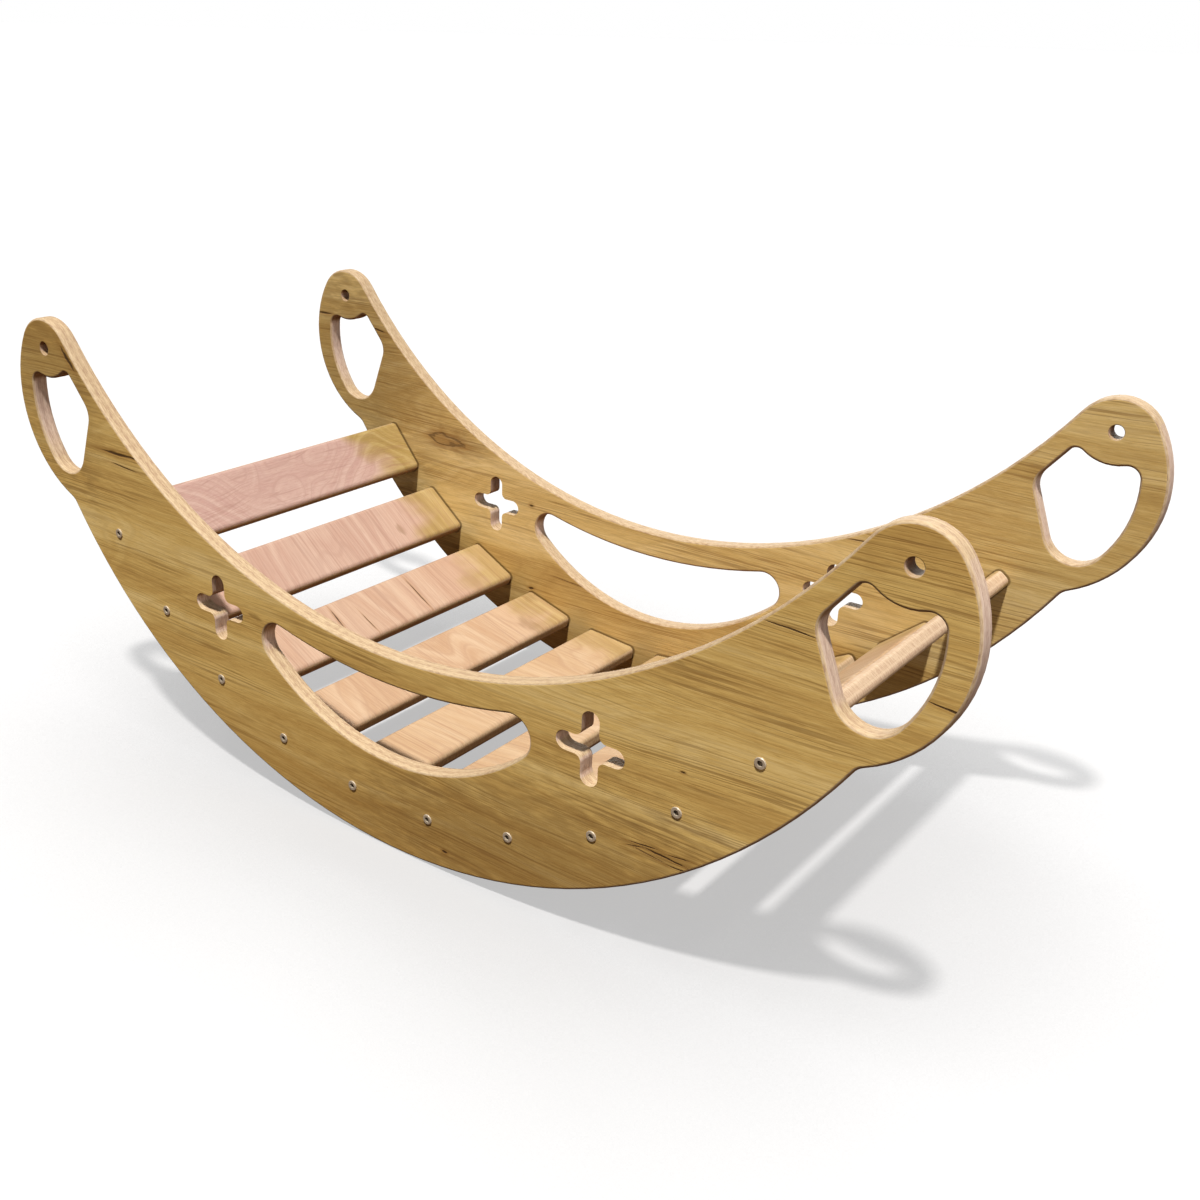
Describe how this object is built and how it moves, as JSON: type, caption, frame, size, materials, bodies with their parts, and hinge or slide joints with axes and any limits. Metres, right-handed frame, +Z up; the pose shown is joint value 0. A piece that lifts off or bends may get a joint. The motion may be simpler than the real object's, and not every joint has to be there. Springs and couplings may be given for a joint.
{
  "type": "crescent climbing rocker",
  "caption": "Crescent-shaped wooden rocker for children: moon-shaped side panels with hand holes, star and crescent cut-outs, joined by flat slats; turned over, a low climbing arch.",
  "frame": {"origin": "on the floor under the middle of the rocker, where its curved edges touch", "axes": "+X along the rocker towards the right-hand tips, -Y out of the front panel, +Z up"},
  "size_m": [1.1048, 0.4724, 0.4587],
  "materials": {
    "panel_board": "18 mm plywood with a matt oak-look face and a pale rounded edge",
    "slat_board": "18 mm board with a matt oak-look face and rounded long edges",
    "screw": "nickel-plated steel, satin bright",
    "dowel": "plain beech"
  },
  "bodies": {
    "root": {"side_panel_front": "panel_board", "side_panel_back": "panel_board", "slat_01": "slat_board", "screw_front_01": "screw", "dowel_front_01": "dowel", "screw_back_01": "screw", "dowel_back_01": "dowel", "slat_02": "slat_board", "screw_front_02": "screw", "dowel_front_02": "dowel", "screw_back_02": "screw", "dowel_back_02": "dowel", "slat_03": "slat_board", "screw_front_03": "screw", "dowel_front_03": "dowel", "screw_back_03": "screw", "dowel_back_03": "dowel", "slat_04": "slat_board", "screw_front_04": "screw", "dowel_front_04": "dowel", "screw_back_04": "screw", "dowel_back_04": "dowel", "slat_05": "slat_board", "screw_front_05": "screw", "dowel_front_05": "dowel", "screw_back_05": "screw", "dowel_back_05": "dowel", "slat_06": "slat_board", "screw_front_06": "screw", "dowel_front_06": "dowel", "screw_back_06": "screw", "dowel_back_06": "dowel", "slat_07": "slat_board", "screw_front_07": "screw", "dowel_front_07": "dowel", "screw_back_07": "screw", "dowel_back_07": "dowel", "slat_08": "slat_board", "screw_front_08": "screw", "dowel_front_08": "dowel", "screw_back_08": "screw", "dowel_back_08": "dowel", "slat_09": "slat_board", "screw_front_09": "screw", "dowel_front_09": "dowel", "screw_back_09": "screw", "dowel_back_09": "dowel", "slat_10": "slat_board", "screw_front_10": "screw", "dowel_front_10": "dowel", "screw_back_10": "screw", "dowel_back_10": "dowel"}
  },
  "joints": []
}
